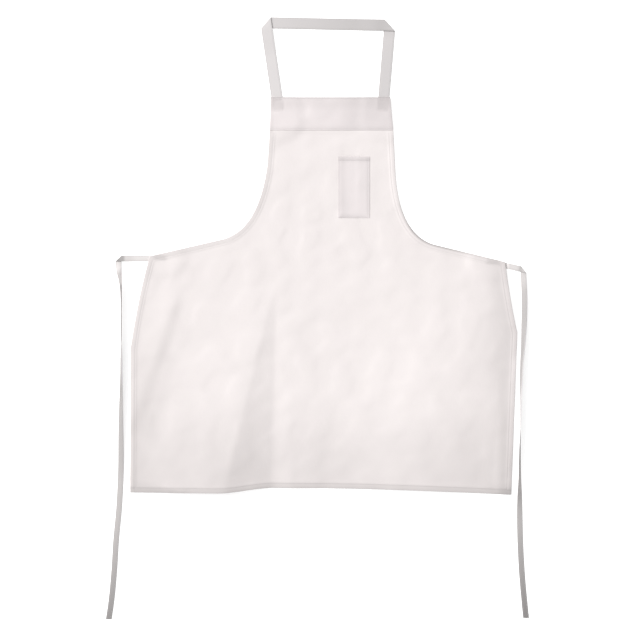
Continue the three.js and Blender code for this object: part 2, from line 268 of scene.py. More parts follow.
# Neck strap: the tape passes these points, its ends hidden behind the bib
STRAP_WIDTH = 0.0254
STRAP_TUCK = 0.050  # length of each hidden end
STRAP = {
    "left_seam": (-0.1035, 0.355),
    "left_corner": (-0.128, 0.522),
    "right_corner": (0.1495, 0.516),
    "right_seam": (0.136, 0.355),
}
# Tone of the strap: corner of its route, distance past that corner, tone
STRAP_TONE_ALONG = (
    (0, 0, 1.08), (1, -0.03, 1.06), (1, 0.02, 0.98), (2, -0.02, 0.80), (2, 0.03, 0.97), (3, 0, 0.95),
)

# Waist ties: tape from its hidden end to the fold, then down to the tip.
# Each lay has a row for each station: distance past the fold, sway towards +X, and roll in degrees.
TIE_WIDTH = 0.0127
TIES = {
    "left": {
        "end": (-0.350, -0.006),
        "fold": (-0.458, -0.006),
        "lay": (
            (0.000, 0.0000, 0), (0.024, 0.0006, -17), (0.042, 0.0034, -48), (0.062, 0.0057, -73),
            (0.095, 0.0067, -86), (0.185, 0.0067, -95), (0.215, 0.0067, -110), (0.265, 0.0067, -117),
            (0.295, 0.0065, -126), (0.345, 0.0058, -143), (0.400, 0.0056, -160), (0.460, 0.0055, -176),
            (0.520, 0.0034, -180), (0.560, 0.0010, -180), (0.630, -0.0055, -180), (0.702, -0.0100, -180),
            (0.774, -0.0170, -180), (0.808, -0.0220, -180),
        ),
    },
    "right": {
        "end": (0.366, -0.012),
        "fold": (0.449, -0.031),
        "lay": (
            (0.000, 0.0000, 0), (0.026, 0.0005, 9), (0.070, 0.0020, 15), (0.115, 0.0010, 24),
            (0.144, -0.0003, 38), (0.171, -0.0019, 50), (0.205, -0.0045, 62), (0.252, -0.0063, 71),
            (0.285, -0.0068, 84), (0.345, -0.0076, 94), (0.384, -0.0084, 106), (0.440, -0.0090, 119),
            (0.470, -0.0090, 127), (0.505, -0.0090, 152), (0.550, -0.0087, 172), (0.626, -0.0067, 180),
            (0.698, -0.0022, 180), (0.734, 0.0010, 180), (0.780, 0.0056, 180),
        ),
    },
}
# Painted light and shade of the ties' fronts by distance past the fold
TIE_LIGHT_AND_SHADE = {
    "left": (
        (-0.030, 1.62), (-0.016, 1.52), (-0.010, 0.85), (-0.005, 0.88), (0.004, 0.62), (0.160, 0.58),
        (0.200, 0.58), (0.290, 0.56), (0.340, 0.73), (0.400, 0.84), (0.500, 1.20), (0.600, 1.12),
        (0.700, 0.90), (0.808, 0.65),
    ),
    "right": (
        (-0.037, 1.95), (-0.032, 1.40), (-0.013, 1.45), (-0.008, 1.10), (-0.003, 1.25), (0.003, 1.50),
        (0.010, 1.40), (0.050, 1.03), (0.180, 0.70), (0.310, 0.71), (0.400, 0.67), (0.490, 1.30),
        (0.600, 0.90), (0.780, 0.52),
    ),
}
# Painted light and shade of their backs against their fronts. Just past the left fold the back is uppermost,
# and is painted far lighter.
TIE_BACK_LIGHT_AND_SHADE = {
    "left": (
        (-0.006, 1.0), (0.003, 2.4), (0.014, 2.7), (0.026, 3.5), (0.045, 3.5), (0.054, 3.2),
        (0.063, 1.85), (0.080, 1.75), (0.095, 1.6), (0.160, 1.6), (0.200, 1.0),
    ),
    "right": ((0.360, 1.0), (0.420, 0.70), (0.470, 0.60), (0.500, 0.65), (0.530, 1.0)),
}
TIE_EXIT = 0.020  # from a tie's hidden end to where it is said to leave the body

# Cloth over the hidden tape ends
TUCK_LIFT = CLOTH + SEAM_GAP
TUCK_MARGIN = 0.022  # the cloth stays lifted this far beside such a tape
TUCK_SLOPE = 0.026  # and comes down over this distance
# Painted shade where a hidden tape end lies under the cloth:
SHOWS_LENGTH = 0.030  # so much of a hidden tape end shows through the cloth
SHOWS_SOFT = 0.0020  # softness of its outline
STRAP_END_SHADE = 0.13  # tone that the band loses there
TIE_END_SHADE = 0.14  # and the body
# Stitched boxes over these ends: where along the tape they start and stop, and their inset from its edges
STRAP_BOX = (0.006, 0.032, 0.004)
TIE_BOX = (0.004, 0.026, 0.002)
BOX_POINTS = 12  # along each side of a box

# A stitch: its start, two rings of four points at these shares of its length, and its end
STITCH_RINGS = (0.2, 0.8)
STITCH_RING = ((1, 0), (0, 1), (-1, 0), (0, -1))
# Its faces. A triangle has its last corner twice.
STITCH_FACES = np.array(
    [(0, 1 + (k + 1) % 4, 1 + k, 1 + k) for k in range(4)]
    + [(1 + k, 1 + (k + 1) % 4, 5 + (k + 1) % 4, 5 + k) for k in range(4)]
    + [(9, 5 + k, 5 + (k + 1) % 4, 5 + (k + 1) % 4) for k in range(4)]
)

# Weave: the slant of its ribs, and the tones that its ribs, fibres and clouds range over
RIB_SLANT = math.radians(52)
RIB_TONES = (0.955, 1.01)
FIBRE_TONES = (0.96, 1.03)
CLOUD_TONES = (0.965, 1.03)
FIBRE_HEIGHT = 0.6  # of fibres against ribs
WAVE_PERIOD = 2 * math.pi / 20  # of Blender's wave texture at scale 1
THREAD_SLANT = math.radians(35)
THREAD_SHADE = 0.86  # tone between the plies of the thread

# Picture
PICTURE_WIDTH = 1.4336  # breadth of the surface that the camera sees
PICTURE_CENTRE = (-0.0067, -0.1439)  # point of the surface below the camera
KEY_SIDE = Vector((-0.88, 0.47, 0))  # where the key light stands, seen from above
KEY_DISTANCE = 3
KEY_SOFTNESS = math.radians(25)
FLOOR_SIZE = 60
FLOOR_DEPTH = 0.0002  # of the floor below the cloth, so that no two faces lie in one plane


def color_property(name, description, default):
    return FloatVectorProperty(
        name=name, description=description, subtype="COLOR", size=3, min=0, max=1, default=default)


def number_property(name, description, default, **limits):
    return FloatProperty(name=name, description=description, default=default, **limits)


def length_property(name, description, default, low, high):
    return number_property(name, description, default, subtype="DISTANCE", precision=4, min=low, max=high)


class ApronCloth(bpy.types.PropertyGroup):
    """Colours and small sizes of the apron's cloth."""

    body_color: color_property("Body", "Single layer of twill", (0.725, 0.678, 0.67))
    # The band, pocket, strap and ties are the body's white twill; their darker colours are painted shade
    band_shaded_color: color_property("Band and pocket", "Twill over another layer", (0.685, 0.635, 0.635))
    strap_shaded_color: color_property("Neck strap", "Folded and stitched tape", (0.575, 0.55, 0.548))
    tie_shaded_color: color_property("Waist ties", "Narrow tape of the ties", (0.42, 0.40, 0.395))
    thread_color: color_property("Thread", "Sewing thread", (0.60, 0.56, 0.555))
    rib: length_property("Twill rib", "Distance between the weave's diagonal ribs", 0.0016, 0.0005, 0.01)
    wrinkle: length_property("Wrinkle", "Height of the ripples between the folds", 0.0007, 0, 0.005)
    stitch_pitch: length_property("Stitch pitch", "From one stitch's start to the next", 0.0032, 0.001, 0.02)
    stitch_length: length_property("Stitch length", "Thread that shows of each stitch", 0.0025, 0.001, 0.02)
    thread_width: length_property("Thread width", "Breadth of the thread as it lies", 0.0006, 0.0001, 0.003)


class ApronStage(bpy.types.PropertyGroup):
    """Floor, light and camera around the apron."""

    floor_color: color_property("Floor", "Plain pale floor", (0.95, 0.95, 0.95))
    floor_glow: number_property(
        "Floor glow", "Light that the floor gives by itself, as a light table does", 0.42, min=0)
    key: number_property("Key light", "Strength of the soft light from the left", 4.6, min=0)
    key_height: number_property(
        "Key height", "Height of the key light above the horizon", math.radians(27), subtype="ANGLE", min=0,
        max=math.pi / 2)
    fill: number_property("Fill light", "Strength of the even light from all round", 0.64, min=0)
    lens: number_property("Lens", "Focal length of the camera in millimetres", 85, unit="CAMERA", min=20)


def smoothstep(x, low, high):
    """0 at low and before it, 1 at high and past it, with a smooth rise between them."""
    t = np.clip((x - low) / (high - low), 0, 1)
    return t * t * (3 - 2 * t)


def across(distance, section, column):
    """Value of one column of an edge's section at a distance from that edge."""
    return np.interp(distance, section[:, 0], section[:, column])


def looked_up(table, place):
    """What a table of places and tones gives at some places."""
    return np.interp(place, *np.transpose(table))


def placed(table, start, length=1):
    """Such a table with its places moved to start and scaled by length."""
    return [(start + place * length, tone) for place, tone in table]


def line_at(lines, place):
    """Which of some grid lines lies at a place."""
    return int(np.flatnonzero(np.isclose(lines, place))[0])


# Surface of the laid body


def flank(u, crest, foot):
    """Height of a fold's flank, from 1 at its crest to 0 at its foot: an even slope, rounded over a share of
    it at the crest and at the foot."""
    u = np.clip(u, 0, 1)
    eased_in = np.maximum(0, crest - u) ** 2 / (2 * crest)
    eased_out = np.maximum(0, u - 1 + foot) ** 2 / (2 * foot)
    fallen = u - crest / 2 + eased_in - eased_out
    return 1 - fallen / (1 - (crest + foot) / 2)


def fold_lift(fold, plan):
    """Height of one fold above the surface."""
    start = np.array(fold["start"])
    line = np.array(fold["end"]) - start
    length = norm(line)
    along = (plan - start) @ line / length
    share = np.clip(along / length, 0, 1)

    def between(name):
        return np.interp(share, (0, 1), fold[name])

    straight = start[0] + line[0] / line[1] * (plan[..., 1] - start[1])
    crest = straight - fold["bow"] * 4 * share * (1 - share)
    off = plan[..., 0] - crest
    west = flank(-off / between("west"), *fold["west_round"])
    east = flank(off / between("east"), *fold["east_round"])
    run_in = smoothstep(along, -fold["fade"], 0) * smoothstep(length - along, -fold["fade"], 0)
    return between("rise") * run_in * np.where(off < 0, west, east)


def towards(start, end, distance):
    """The point at a distance from start on the way to end."""
    start, end = np.array(start), np.array(end)
    return start + (end - start) * distance / norm(end - start)


def tucks():
    """The tape ends hidden behind the cloth, those of the strap and of the ties: both ends of each, and its
    width."""
    strap = []
    for side in ("left", "right"):
        sewn, corner = STRAP[f"{side}_seam"], STRAP[f"{side}_corner"]
        strap.append((sewn, towards(sewn, corner, -STRAP_TUCK), STRAP_WIDTH))
    ties = [(tie["end"], EDGES[side]["waist"], TIE_WIDTH) for side, tie in TIES.items()]
    return strap, ties


def from_line(plan, start, end):
    """Distance from a straight line between two points."""
    start = np.array(start)
    line = np.array(end) - start
    share = np.clip((plan - start) @ line / (line @ line), 0, 1)
    return norm(plan - start - share[..., None] * line, axis=-1)


def tuck_lift(plan, start, end, width):
    """Lift of the cloth over one hidden tape end."""
    away = from_line(plan, start, end) - width / 2
    return TUCK_LIFT * (1 - smoothstep(away, TUCK_MARGIN, TUCK_MARGIN + TUCK_SLOPE))


def over_tape(plan, start, end, width):
    """1 over a hidden tape end, where shade is painted on the cloth, and 0 away from it."""
    start = np.array(start)
    along = (np.array(end) - start) / norm(np.subtract(end, start))
    way = (plan - start) @ along
    off = np.abs((plan - start) @ np.array([-along[1], along[0]]))
    shown = 1
    for inside in (width / 2 - off, SHOWS_LENGTH - way, way):
        shown = shown * smoothstep(inside, -SHOWS_SOFT, SHOWS_SOFT)
    return shown


def ripples(plan):
    """Gentle unevenness of cloth that was folded and shaken out, from 0 to 1."""
    rng = np.random.default_rng(RIPPLES["seed"])
    total = np.zeros(plan.shape[:-1])
    power = 0
    for _ in range(RIPPLES["count"]):
        wavelength = rng.uniform(RIPPLES["shortest"], RIPPLES["longest"])
        heading, phase = rng.uniform(0, (math.pi, 2 * math.pi))
        way = plan @ np.array([math.cos(heading), math.sin(heading)])
        total += wavelength * np.sin(2 * math.pi * way / wavelength + phase)
        power += wavelength**2 / 2
    return 0.5 + 0.5 * np.tanh(total / math.sqrt(power))


def body_lift(plan, cloth):
    """Height of the body's back above the surface."""
    folds = sum(fold_lift(fold, plan) for fold in FOLDS)
    strap, ties = tucks()
    tucked = np.max([tuck_lift(plan, *tuck) for tuck in strap + ties], axis=0)
    return folds + tucked + cloth.wrinkle * ripples(plan)


def edge_rows(edge, inward):
    """A side edge from the bib's top to the hem: its points, and the step inwards that crosses its hem. At a
    corner the step is the hem's mitre, and the steps beside it lean towards it."""
    bows = [[np.array(edge[name]) if name else None for name in names] for _, *names in STRETCHES]
    bows = [(a, (a + c) / 2 if b is None else b, c) for a, b, c in bows]

    def inwards(way):
        turned = np.stack([-way[..., 1], way[..., 0]], axis=-1)
        return inward * turned / norm(way, axis=-1, keepdims=True)

    leaving = [inwards(b - a) for a, b, c in bows]
    arriving = [inwards(c - b) for a, b, c in bows]
    mitres = [(n + m) / (1 + n @ m) for n, m in zip([leaving[0], *arriving], [*leaving, arriving[-1]])]
    points, steps = [], []
    for k, (a, b, c) in enumerate(bows):
        t = np.arange(STRETCHES[k][0]) / STRETCHES[k][0]
        if k == len(bows) - 1:
            hem = 1 - HEM_LINES[::-1] / norm(c - a)
            t = np.concatenate([t * hem[0], hem])
        t = t[:, None]
        points.append((1 - t) ** 2 * a + 2 * t * (1 - t) * b + t**2 * c)
        lean = (1 - t) * (mitres[k] - leaving[k]) + t * (mitres[k + 1] - arriving[k])
        steps.append(inwards((1 - t) * (b - a) + t * (c - b)) + lean)
    return np.concatenate(points), np.concatenate(steps)


def body_grid():
    """The body's grid from above, hem row first, with each point's distance from the sides and the hem."""
    left, left_step = edge_rows(EDGES["left"], 1)
    right, right_step = edge_rows(EDGES["right"], -1)
    west = left[:, None] + left_step[:, None] * HEM_LINES[:, None]
    east = right[:, None] + right_step[:, None] * HEM_LINES[::-1, None]
    share = np.linspace(0, 1, BODY_COLUMNS + 1)[1:-1]
    middle = west[:, -1:] + (east[:, :1] - west[:, -1:]) * share[:, None]
    plan = np.concatenate([west, middle, east], axis=1)
    broad = norm(east[:, :1] - west[:, -1:], axis=-1)
    inner = HEM_LINES[-1] + broad * np.minimum(share, 1 - share)
    hem = np.broadcast_to(HEM_LINES, west.shape[:2])
    side = np.concatenate([hem, inner, hem[:, ::-1]], axis=1)
    ends = np.zeros(len(HEM_LINES))
    share = np.concatenate([ends, share, ends + 1])
    hip, corner = (EDGES["left"][name][1] for name in ("hip", "hem_corner"))
    skirt = smoothstep(-plan[..., 1], -hip, -corner)
    last = plan[-len(HEM_LINES), :, 1]
    bottom = HEM_LINES[-1] + plan[..., 1] - last
    bottom[-len(HEM_LINES):] = HEM_LINES[::-1, None]
    rises, risen, held = HEM_DRAW
    fallen = np.maximum(0, share - held) / (1 - held)
    plan[..., 1] += HEM_RISE * smoothstep(share, rises, risen) * (1 - fallen**2) * skirt
    return plan[::-1], side[::-1], bottom[::-1]


# Meshes


def woven_sheet(name, upper, lower, flat, tone, material, back=1):
    """A closed sheet on a grid: rows of points on its front and its back, the same points as cut flat, the
    tone at each, and that of the back against the front."""
    rows, columns = upper.shape[:2]
    bpy.ops.object.select_all(action="DESELECT")
    bpy.ops.mesh.primitive_grid_add(x_subdivisions=columns - 1, y_subdivisions=rows - 1, size=1)
    sheet = bpy.context.object
    sheet.name = sheet.data.name = name
    layers = sheet.modifiers.new("Layers", "SOLIDIFY")
    layers.thickness = CLOTH
    layers.offset = -1
    bpy.ops.object.modifier_apply(modifier=layers.name)
    mesh = sheet.data
    points = np.concatenate([upper.reshape(-1, 3), lower.reshape(-1, 3)])
    if len(mesh.vertices) != len(points):
        raise RuntimeError(f"{name} has {len(mesh.vertices)} points, and {len(points)} places for them")
    mesh.vertices.foreach_set("co", points.ravel())
    corner = np.empty(len(mesh.loops), int)
    mesh.loops.foreach_get("vertex_index", corner)
    cut = np.tile(flat.reshape(-1, 2), (2, 1))
    mesh.uv_layers.active.data.foreach_set("uv", cut[corner].ravel())
    shade = mesh.attributes.new("tone", "FLOAT", "POINT")
    shade.data.foreach_set("value", np.stack([tone, tone * back]).ravel())
    mesh.materials.append(material)
    mesh.update()
    bpy.ops.object.shade_smooth_by_angle(angle=SMOOTH_ANGLE)
    return sheet


def along_line(s, way, values):
    """Values at distances along a line, from those at its points and the distances of its points."""
    return np.stack([np.interp(s, way, column) for column in values.T], axis=1)


def seam(name, lines, cloth):
    """All stitches along some lines as one mesh. A line is its points on the cloth, and the way out of the
    cloth at each."""
    starts, ends, outs = [], [], []
    for points, out in lines:
        way = np.concatenate([[0], np.cumsum(norm(np.diff(points, axis=0), axis=1))])
        count = max(1, round((way[-1] + cloth.stitch_pitch - cloth.stitch_length) / cloth.stitch_pitch))
        pitch = (way[-1] - cloth.stitch_length) / max(1, count - 1)
        at = np.arange(count) * pitch
        starts.append(along_line(at, way, points))
        ends.append(along_line(at + cloth.stitch_length, way, points))
        outs.append(along_line(at + cloth.stitch_length / 2, way, np.broadcast_to(out, points.shape)))
    start, end, out = (np.concatenate(values) for values in (starts, ends, outs))
    along = end - start
    side = np.cross(out, along)
    # A stitch lies flattened, half as high as it is broad.
    side *= cloth.thread_width / 2 / norm(side, axis=1, keepdims=True)
    out = out * cloth.thread_width / 4 / norm(out, axis=1, keepdims=True)
    rings = [start + along * share + side * x + out * z for share in STITCH_RINGS for x, z in STITCH_RING]
    points = np.stack([start, *rings, end], axis=1)
    each = points.shape[1]
    faces = (STITCH_FACES[None] + each * np.arange(len(points))[:, None, None]).reshape(-1, 4)
    outlines = [list(dict.fromkeys(face)) for face in faces.tolist()]
    mesh = bpy.data.meshes.new(name)
    mesh.from_pydata(points.reshape(-1, 3).tolist(), [], outlines)
    mesh.materials.append(sewing_thread(cloth))
    stitching = bpy.data.objects.new(name, mesh)
    bpy.context.scene.collection.objects.link(stitching)
    return stitching


def tape_folds(route):
    """Where the corners of a route fall on the straight tape, and how far it turns at each. Every fold turns
    the tape over, so on the straight tape every other turn goes the opposite way."""
    folds, at = [], 0
    for k, corner in enumerate(route[1:-1]):
        before, after = corner - route[k], route[k + 2] - corner
        turn = math.atan2(before[0] * after[1] - before[1] * after[0], before @ after)
        at += norm(before)
        folds.append((at, -turn if k % 2 else turn))
    return folds


def tape_stations(length, folds, width):
    """Lines across the tape: distance along, and slant, which lays the line along the crease of a fold."""
    stations = []

    def run(start, end):
        count = math.ceil((end - start) / TAPE_STEP)
        stations.extend((along, 0) for along in np.linspace(start, end, count + 1))

    start = 0
    for at, turn in folds:
        run(start, at - CREASE_CLEAR * width)
        reach = math.pi * FOLD_RADIUS / (2 * abs(math.sin(turn / 2)))
        creased = np.linspace(at - reach, at + reach, CREASE_STEPS + 1)
        stations.extend((along, 1 / math.tan(turn / 2)) for along in creased)
        start = at + CREASE_CLEAR * width
    run(start, length)
    return np.array(stations)


def fold_tape(s, t, z, at, turn, side):
    """Bends what lies past a crease round and back flat: side -1 folds it under, 1 over."""
    crease = np.array([math.cos(turn / 2), math.sin(turn / 2)])
    ahead = np.array([crease[1], -crease[0]]) * math.copysign(1, turn)
    past = (s - at) * ahead[0] + t * ahead[1]
    along = (s - at) * crease[0] + t * crease[1]
    bend = math.pi / 2 * FOLD_RADIUS
    angle = np.clip((past + bend) / FOLD_RADIUS, 0, math.pi)
    radius = FOLD_RADIUS - side * z
    reach = radius * np.sin(angle) - bend - np.maximum(0, past - bend)
    bent = past > -bend
    return (
        np.where(bent, at + along * crease[0] + reach * ahead[0], s),
        np.where(bent, along * crease[1] + reach * ahead[1], t),
        np.where(bent, side * (FOLD_RADIUS - radius * np.cos(angle)), z),
    )


def lay_tape(route, width, lie, s, t, z):
    """Places points of the straight tape where the folded tape lies."""
    folds = tape_folds(route)
    sway, roll, lift = lie(s)
    x = s
    y = t * np.cos(roll) - z * np.sin(roll) + sway
    up = t * np.sin(roll) + z * np.cos(roll) + lift
    for k, (at, turn) in reversed(list(enumerate(folds))):
        x, y, up = fold_tape(x, y, up, at, turn, 1 if k % 2 else -1)
    # Each run rises onto the next one before the fold that takes it underneath.
    climb = sum(smoothstep(s, at - CLIMB[0] * width, at - CLIMB[1] * width) for at, _ in folds)
    heading = math.atan2(*(route[1] - route[0])[::-1])
    return np.stack(
        [
            route[0][0] + x * math.cos(heading) - y * math.sin(heading),
            route[0][1] + x * math.sin(heading) + y * math.cos(heading),
            up + climb * 2 * FOLD_RADIUS + CLOTH / 2,
        ],
        axis=-1,
    )


def lie_flat(s):
    """Sway, roll and lift of a tape that lies flat."""
    return 0, 0, 0


def tie_lie(lay, run):
    """How a tie lies, from the rows of its lay and the distance from its hidden end to its fold."""
    lay = np.array(lay)
    slopes = np.gradient(lay[:, 1:], lay[:, 0], axis=0)

    def lie(s):
        """Sway, roll and lift: the tie turns over as it runs down, standing on its lower edge."""
        past = np.clip(s - run, 0, lay[-1, 0])
        k = np.clip(np.searchsorted(lay[:, 0], past, side="right") - 1, 0, len(lay) - 2)
        gap = (lay[k + 1, 0] - lay[k, 0])[..., None]
        u = (past - lay[k, 0])[..., None] / gap
        value = (
            (1 + 2 * u) * (1 - u) ** 2 * lay[k, 1:]
            + u * (1 - u) ** 2 * gap * slopes[k]
            + u**2 * (3 - 2 * u) * lay[k + 1, 1:]
            + u**2 * (u - 1) * gap * slopes[k + 1]
        )
        # It stays flat until it has come out from under its first run.
        value *= smoothstep(past, *(TIE_WIDTH * widths for widths in SWAY))[..., None]
        roll = np.radians(np.clip(value[..., 1], -180, 180))
        stand = TIE_WIDTH / 2 * np.abs(np.sin(roll)) + CLOTH / 2 * np.abs(np.cos(roll))
        # Past its fold the straight tape lies face down, so its sway and its height change sign.
        return -value[..., 0], roll, CLOTH / 2 - stand

    return lie


def tape(name, route, width, lie, cloth, material, back_shading=((0, 1),)):
    """A stitched tape laid along a route. lie gives its sway, roll and lift at distances along it, and the
    last argument is a table of the painted light and shade of its back against its front. Gives the tape,
    its stitching and the line along its middle."""
    route = [np.array(corner) for corner in route]
    length = sum(norm(b - a) for a, b in zip(route, route[1:]))
    stations = tape_stations(length, tape_folds(route), width)
    insets = TAPE[:, 0]
    half = width / 2
    middle = np.linspace(insets[-1] - half, half - insets[-1], TAPE_MIDDLE + 1)[1:-1]
    t = np.concatenate([insets - half, middle, half - insets[::-1]])
    inset = half - np.abs(t)
    t = np.broadcast_to(t[:, None], (len(t), len(stations)))
    s = stations[:, 0] + stations[:, 1] * t
    z = np.broadcast_to(CLOTH / 2 * across(inset, TAPE, 1)[:, None], t.shape)
    upper = lay_tape(route, width, lie, s, t, z)
    lower = lay_tape(route, width, lie, s, t, -z)
    standing = np.sin(lie(s)[1]) ** RIM_POWER
    rim = 1 - smoothstep(inset, *TAPE_RIM)[:, None]
    tone = np.broadcast_to(across(inset, TAPE, 2)[:, None] * (1 + RIM_LIGHT * standing * rim), t.shape)
    flat = np.stack([s, t], axis=-1)
    piece = woven_sheet(name, upper, lower, flat, tone, material, looked_up(back_shading, s))
    sewn = np.flatnonzero(np.isclose(inset, TAPE_STITCH))
    out = (upper - lower)[len(t) // 2]
    lines = [(face[row], way) for row in sewn for face, way in ((upper, out), (lower, -out))]
    stitching = seam(f"{name}_stitching", lines, cloth)
    zero = np.zeros(len(stations))
    return piece, stitching, lay_tape(route, width, lie, stations[:, 0], zero, zero)


def patch_lines(length, low, high, cells):
    """Grid lines between two sewn edges: close together on their sections, and even between them."""
    inner = np.linspace(low[-1, 0], length - high[-1, 0], cells + 1)[1:-1]
    return np.concatenate([low[:, 0], inner, length - high[::-1, 0]])


def edge_tone(inset, tone, fade):
    """Tone at some distance from an edge along which light or shade is painted."""
    return 1 - (1 - tone) * (1 - smoothstep(inset, *fade))


def patch_faces(plan, base, *edges):
    """Front, back and tone of a patch that is sewn on above its base. An edge is given as the distance from
    it and its section."""
    front, back, tone = 0, 0, 1
    for away, section in edges:
        front = front + across(away, section, 1)
        back = back + across(away, section, 2)
        tone = tone * across(away, section, 3)
    front = np.maximum(front, THINNEST - CLOTH)
    back = np.minimum(back, front + CLOTH - THINNEST)
    return np.dstack([plan, base + CLOTH + front]), np.dstack([plan, base + back]), tone


def box_seams(hidden, box, cloth, above):
    """Lines of the stitched boxes over hidden tape ends, at a height above the body's front."""
    start, stop, inset = box
    lines = []
    for seam_end, far_end, width in hidden:
        a, b = (towards(seam_end, far_end, distance) for distance in (start, stop))
        way = (b - a) / norm(b - a)
        half = np.array([-way[1], way[0]]) * (width / 2 - inset)
        corners = [a - half, b - half, b + half, a + half]
        for corner, after in zip(corners, corners[1:] + corners[:1]):
            plan = np.linspace(corner, after, BOX_POINTS)
            height = body_lift(plan, cloth) + CLOTH + above
            lines.append((np.column_stack([plan, height]), UP))
    return lines


# Materials


def node_chain(name):
    """A new material, with a function that fills the sockets of its shader and one that adds a node. Sockets
    are given by their names, or by their numbers as _0 and _1, with a value or a socket to link."""
    material = bpy.data.materials.new(name)
    material.use_nodes = True
    tree = material.node_tree

    def fill(node, sockets):
        for key, value in sockets.items():
            socket = node.inputs[int(key[1:])] if key[0] == "_" else node.inputs[key.replace("_", " ")]
            if isinstance(value, bpy.types.NodeSocket):
                tree.links.new(value, socket)
            else:
                socket.default_value = value
        return node

    def surface(**sockets):
        fill(tree.nodes["Principled BSDF"], sockets)

    def add(kind, settings=None, **sockets):
        node = tree.nodes.new(f"ShaderNode{kind}")
        for key, value in (settings or {}).items():
            setattr(node, key, value)
        return fill(node, sockets)

    return material, surface, add


def twill(name, color, cloth, shading_ramp=()):
    """White cotton twill: diagonal ribs of thread, slubs, and a slight unevenness of tone. The last argument
    lists places along the piece, in metres, with the tone painted there; on the band, pocket and ties this
    is painted light and shade."""
    material, surface, add = node_chain(name)

    def combined(operation, a, b):
        return add("Math", {"operation": operation}, _0=a, _1=b).outputs[0]

    def toned(value, tones):
        return add("MapRange", Value=value, To_Min=tones[0], To_Max=tones[1]).outputs[0]

    cut = add("TexCoord").outputs["UV"]
    turned = add("Mapping", Vector=cut, Rotation=(0, 0, RIB_SLANT)).outputs[0]
    ribs = add("TexWave", Vector=turned, Scale=WAVE_PERIOD / cloth.rib, Distortion=0.6, Detail=1.0,
               Detail_Scale=2.0).outputs["Fac"]
    slubs = add("Mapping", Vector=cut, Scale=(1, 6, 1)).outputs[0]
    fibre = add("TexNoise", Vector=slubs, Scale=260, Detail=2.0, Roughness=0.6).outputs["Fac"]
    cloud = add("TexNoise", Vector=cut, Scale=11, Detail=3.0, Roughness=0.55).outputs["Fac"]
    tone = combined("MULTIPLY", toned(ribs, RIB_TONES), toned(fibre, FIBRE_TONES))
    tone = combined("MULTIPLY", tone, toned(cloud, CLOUD_TONES))
    # The tone attribute carries each piece's painted light and shade
    tone = combined("MULTIPLY", tone, add("Attribute", {"attribute_name": "tone"}).outputs["Fac"])
    # A tone that changes along the piece, which paints light and shade on the band, pocket and ties
    if shading_ramp:
        along = add("SeparateXYZ", Vector=cut).outputs["X"]
        first, last = shading_ramp[0][0], shading_ramp[-1][0]
        share = add("MapRange", Value=along, From_Min=first, From_Max=last).outputs[0]
        ramp = add("ValToRGB", Fac=share)
        stops = ramp.color_ramp.elements
        while len(stops) < len(shading_ramp):
            stops.new(0.5)
        for stop, (place, value) in zip(stops, shading_ramp):
            stop.position = (place - first) / (last - first)
            stop.color = (value, value, value, 1)
        tone = combined("MULTIPLY", tone, ramp.outputs["Color"])
    mix = add("Mix", {"data_type": "RGBA", "blend_type": "MULTIPLY"}, Factor=1, _6=(*color, 1), _7=tone)
    height = combined("ADD", ribs, combined("MULTIPLY", fibre, FIBRE_HEIGHT))
    weave = add("Bump", Strength=0.35, Distance=0.00025, Height=height)
    surface(Base_Color=mix.outputs[2], Normal=weave.outputs[0], Roughness=0.9, Specular_IOR_Level=0.2,
            Sheen_Weight=0.08, Sheen_Roughness=0.6)
    return material


def sewing_thread(cloth):
    """White thread, its two plies twisted."""
    existing = bpy.data.materials.get("sewing_thread")
    if existing:
        return existing
    material, surface, add = node_chain("sewing_thread")
    place = add("TexCoord").outputs["Object"]
    turned = add("Mapping", Vector=place, Rotation=(0, 0, THREAD_SLANT)).outputs[0]
    plies = add("TexWave", Vector=turned, Scale=620, Distortion=1.0).outputs["Fac"]
    ramp = add("ValToRGB", Fac=plies)
    dark, light = ramp.color_ramp.elements
    dark.color = (*(THREAD_SHADE * channel for channel in cloth.thread_color), 1)
    light.color = (*cloth.thread_color, 1)
    twist = add("Bump", Strength=0.3, Distance=0.0001, Height=plies)
    surface(Base_Color=ramp.outputs["Color"], Normal=twist.outputs[0], Roughness=0.7)
    return material


def dress(piece, node, stitching):
    """Lets a piece and its stitching stand for a solid of the frame."""
    for made in (piece, stitching):
        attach(made, "root")
    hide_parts(node)


